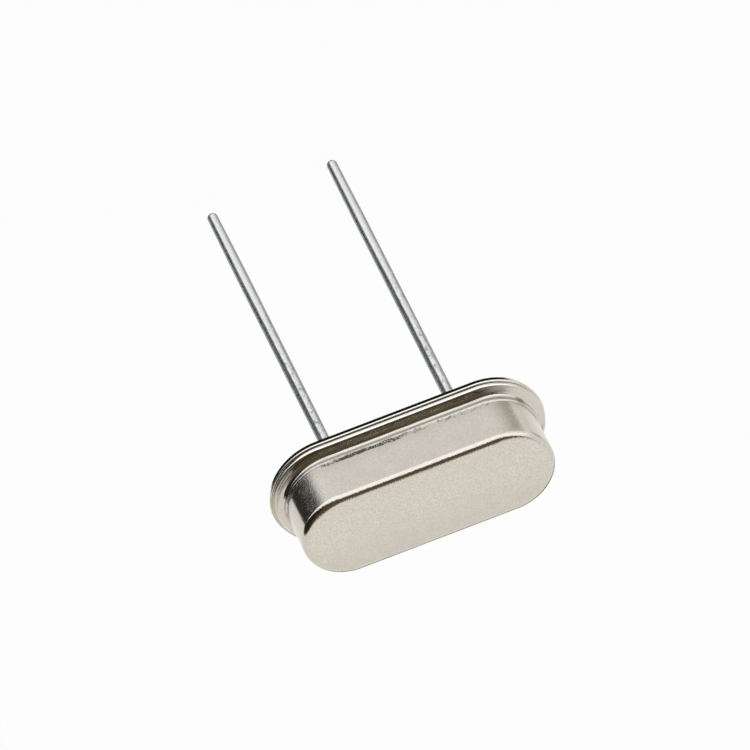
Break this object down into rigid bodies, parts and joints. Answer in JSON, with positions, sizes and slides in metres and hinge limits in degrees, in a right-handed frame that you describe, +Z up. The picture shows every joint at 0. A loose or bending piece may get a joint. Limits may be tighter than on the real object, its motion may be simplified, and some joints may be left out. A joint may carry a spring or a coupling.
{
  "type": "quartz crystal unit",
  "caption": "Low oblong metal can on a flanged base with two wire leads, holding a quartz strip between spring clips.",
  "frame": {"origin": "midway between the two leads, on the seating plane, which is the underside of the base flange and the top of the board", "axes": "+Z up from the board to the top of the can, X along the long side through both leads, -Y towards the front long side"},
  "size_m": [0.0108, 0.0046, 0.0196],
  "materials": {
    "can_plating": "satin, plated",
    "base_plating": "satin, plated",
    "lead_tinning": "satin, tinned",
    "seal_glass": "gloss",
    "clip_metal": "satin",
    "quartz": "fine ground",
    "silver_film": "satin",
    "conductive_adhesive": "matte"
  },
  "bodies": {
    "root": {"can": "can_plating", "base": "base_plating", "glass_seal_left": "seal_glass", "glass_seal_right": "seal_glass", "lead_left": "lead_tinning", "lead_right": "lead_tinning", "clip_left": "clip_metal", "clip_right": "clip_metal", "quartz_blank": "quartz", "electrode_top": "silver_film", "electrode_bottom": "silver_film", "adhesive_left": "conductive_adhesive", "adhesive_right": "conductive_adhesive"}
  },
  "joints": []
}
